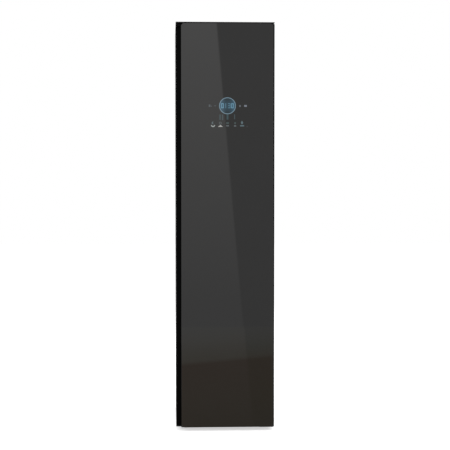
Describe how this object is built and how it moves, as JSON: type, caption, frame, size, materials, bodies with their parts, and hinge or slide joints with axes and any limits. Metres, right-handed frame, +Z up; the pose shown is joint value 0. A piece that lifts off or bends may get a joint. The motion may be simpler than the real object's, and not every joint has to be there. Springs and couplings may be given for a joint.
{
  "type": "clothes care steam cabinet",
  "caption": "Tall narrow clothes care cabinet with a tinted glass door, rocking hanger bar, door press, shelf and lift-out water tanks.",
  "frame": {"origin": "centre of the footprint's bounding box, on the floor", "axes": "+Z up, the glass door faces -Y, +X to the viewer's right when facing the door"},
  "size_m": [0.445, 0.585, 1.85],
  "materials": {
    "tinted_glass": "tinted, polished",
    "black_steel": "satin black coat",
    "black_trim": "dark brushed coat",
    "dark_plastic": "fine texture",
    "light_plastic": "fine texture",
    "clear_plastic": "smoky clear",
    "bare_steel": "brushed",
    "bare_aluminium": "mill finish",
    "rubber": "matt",
    "foam": "foamed",
    "board": "lacquered",
    "lamp_white": "diffusing"
  },
  "bodies": {
    "cabinet": {"base_pan": "black_steel", "side_panel_left": "black_steel", "side_panel_right": "black_steel", "top_cover": "black_steel", "back_panel": "black_steel", "front_frame": "black_steel", "service_cover": "dark_plastic", "cable_gland": "rubber", "upper_hinge": "bare_steel", "lower_hinge": "bare_steel", "rear_foot_left": "rubber", "rear_foot_right": "rubber", "chamber_liner": "light_plastic", "insulation_jacket": "foam", "chamber_lamp": "lamp_white", "steam_nozzle": "dark_plastic", "outlet_grille": "dark_plastic", "tank_bay": "light_plastic", "drive_frame": "bare_steel", "gearmotor": "bare_steel", "control_box": "dark_plastic", "door_switch": "dark_plastic", "duct_case": "dark_plastic", "heat_exchanger": "bare_aluminium", "blower_motor": "bare_steel", "compressor": "bare_steel", "fan_shroud": "dark_plastic", "steam_generator": "bare_aluminium", "steam_hose": "rubber", "feed_pump": "dark_plastic", "feed_hose": "rubber"},
    "hanger": {"carriage": "dark_plastic", "hanger_bar": "bare_steel"},
    "crank": {"crank_disc": "bare_steel"},
    "plunger": {"switch_plunger": "light_plastic"},
    "blower": {"blower_wheel": "dark_plastic"},
    "fan": {"cooling_fan": "dark_plastic"},
    "filter": {"lint_filter": "dark_plastic"},
    "shelf": {"shelf": "dark_plastic"},
    "supply_tank": {"supply_tank": "clear_plastic", "supply_tank_lid": "dark_plastic"},
    "supply_cap": {"supply_tank_cap": "light_plastic"},
    "supply_handle": {"supply_tank_handle": "dark_plastic"},
    "drain_tank": {"drain_tank": "clear_plastic", "drain_tank_lid": "dark_plastic"},
    "drain_cap": {"drain_tank_cap": "light_plastic"},
    "drain_handle": {"drain_tank_handle": "dark_plastic"},
    "foot_left": {"front_foot_left": "rubber"},
    "foot_right": {"front_foot_right": "rubber"},
    "door": {"door_glass": "tinted_glass", "door_shell": "black_steel", "grip_profile": "black_trim", "door_top_cap": "dark_plastic", "door_bottom_cap": "dark_plastic", "door_liner": "light_plastic", "door_gasket": "rubber", "display_board": "board", "press_base": "dark_plastic", "press_pin": "bare_steel"},
    "press": {"press_panel": "dark_plastic"}
  },
  "joints": [
    {"name": "door_hinge", "type": "hinge", "parent": "cabinet", "child": "door", "pos_m": [0.206, -0.2622, 0.9], "axis": [0, 0, 1], "range_deg": [0, 105]},
    {"name": "press_hinge", "type": "hinge", "parent": "door", "child": "press", "pos_m": [0.1465, -0.2331, 1.17], "axis": [0, 0, -1], "range_deg": [0, 75]},
    {"name": "door_switch_slide", "type": "slide", "parent": "cabinet", "child": "plunger", "axis": [0, -1, 0], "range_m": [0, 0.0041]},
    {"name": "hanger_slide", "type": "slide", "parent": "cabinet", "child": "hanger", "axis": [1, 0, 0], "range_m": [-0.0121, 0.0121]},
    {"name": "crank_turn", "type": "hinge", "parent": "cabinet", "child": "crank", "pos_m": [0, -0.018, 1.79], "axis": [0, 0, -1], "range_deg": [-61, 61]},
    {"name": "blower_spin", "type": "hinge", "parent": "cabinet", "child": "blower", "pos_m": [0, 0.1485, 0.3457], "axis": [1, 0, 0], "continuous": true},
    {"name": "fan_spin", "type": "hinge", "parent": "cabinet", "child": "fan", "pos_m": [0.105, 0.278, 0.15], "axis": [0, 1, 0], "continuous": true},
    {"name": "filter_lift", "type": "slide", "parent": "cabinet", "child": "filter", "axis": [0, 0, 1], "range_m": [0, 0.06]},
    {"name": "shelf_lift", "type": "slide", "parent": "cabinet", "child": "shelf", "axis": [0, 0, 1], "range_m": [0, 0.04]},
    {"name": "supply_tank_lift", "type": "slide", "parent": "cabinet", "child": "supply_tank", "axis": [0, 0, 1], "range_m": [0, 0.175]},
    {"name": "supply_cap_hinge", "type": "hinge", "parent": "supply_tank", "child": "supply_cap", "pos_m": [-0.14075, -0.1635, 0.4051], "axis": [-1, 0, 0], "range_deg": [0, 90]},
    {"name": "supply_handle_hinge", "type": "hinge", "parent": "supply_tank", "child": "supply_handle", "pos_m": [-0.09475, -0.1535, 0.4066], "axis": [1, 0, 0], "range_deg": [0, 90]},
    {"name": "drain_tank_lift", "type": "slide", "parent": "cabinet", "child": "drain_tank", "axis": [0, 0, 1], "range_m": [0, 0.175]},
    {"name": "drain_cap_hinge", "type": "hinge", "parent": "drain_tank", "child": "drain_cap", "pos_m": [0.04875, -0.1635, 0.4051], "axis": [-1, 0, 0], "range_deg": [0, 90]},
    {"name": "drain_handle_hinge", "type": "hinge", "parent": "drain_tank", "child": "drain_handle", "pos_m": [0.09475, -0.1535, 0.4066], "axis": [1, 0, 0], "range_deg": [0, 90]},
    {"name": "foot_left_turn", "type": "hinge", "parent": "cabinet", "child": "foot_left", "pos_m": [-0.1805, -0.1855, 0.01], "axis": [0, 0, 1], "continuous": true},
    {"name": "foot_right_turn", "type": "hinge", "parent": "cabinet", "child": "foot_right", "pos_m": [0.1805, -0.1855, 0.01], "axis": [0, 0, 1], "continuous": true}
  ],
  "couplings": [
    {"joint": "crank_turn", "follows": "hanger_slide", "rad_per_m": 86.545},
    {"joint": "door_switch_slide", "follows": "door_hinge", "m_per_rad": 0.0021827}
  ]
}
